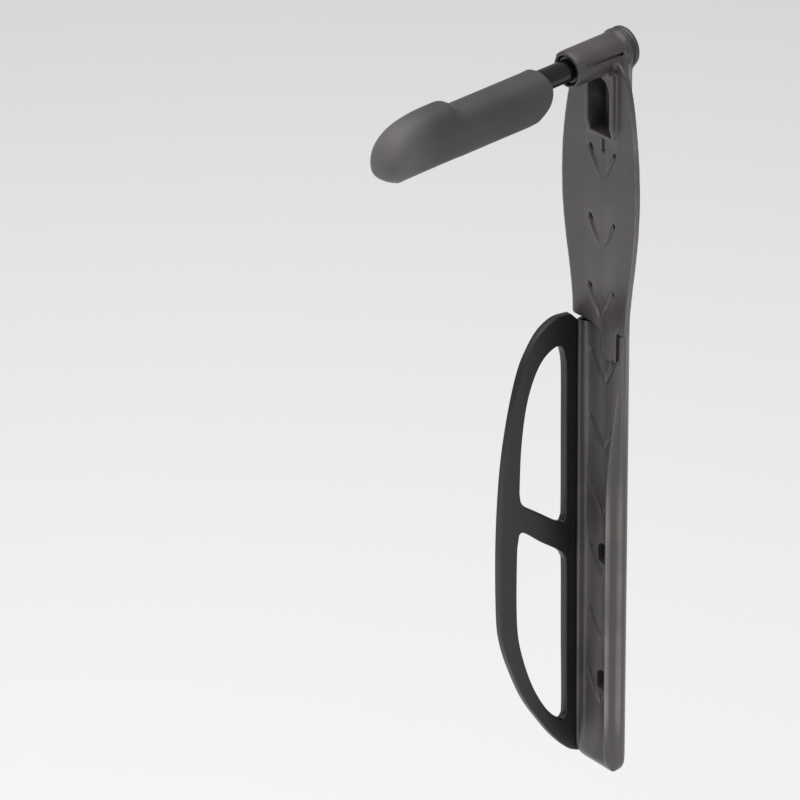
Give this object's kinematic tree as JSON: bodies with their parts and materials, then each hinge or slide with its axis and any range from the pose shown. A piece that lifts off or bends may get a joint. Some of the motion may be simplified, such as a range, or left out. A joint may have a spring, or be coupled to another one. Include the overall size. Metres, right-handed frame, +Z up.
{
  "type": "bicycle wall rack",
  "caption": "Wall rack that hangs a bicycle by one wheel on a padded swivelling hook, with a tyre rail below it and a steel lock loop along the rail.",
  "frame": {"origin": "on the wall face, midway between the top and the bottom wall screws", "axes": "+Z up, the wall is the plane Y = 0, the rack stands out towards -Y, +X is to the right of someone facing the wall"},
  "size_m": [0.0436, 0.1305, 0.3487],
  "materials": {
    "rail_plastic": "satin, fine moulded grain",
    "head_plastic": "satin, fine moulded grain",
    "loop_steel": "satin black powder coat",
    "rod_black": "gloss black",
    "sleeve_rubber": "soft matt",
    "acetal": "smooth",
    "zinc": "bright zinc"
  },
  "bodies": {
    "frame": {"tyre_rail": "rail_plastic", "leaf_head": "head_plastic", "lock_bracket": "loop_steel", "rail_screws": "zinc", "head_screws": "zinc", "front_bush": "acetal", "rear_bush": "acetal"},
    "hook": {"hook_rod": "rod_black", "hook_sleeve": "sleeve_rubber", "sleeve_pin": "zinc", "stop_ring": "rod_black", "rear_washer": "zinc", "wave_washer": "zinc", "lock_nut": "zinc"}
  },
  "joints": [
    {"name": "hook_swivel", "type": "hinge", "parent": "frame", "child": "hook", "pos_m": [0, -0.02, 0.161], "axis": [0, -1, 0], "continuous": true}
  ]
}
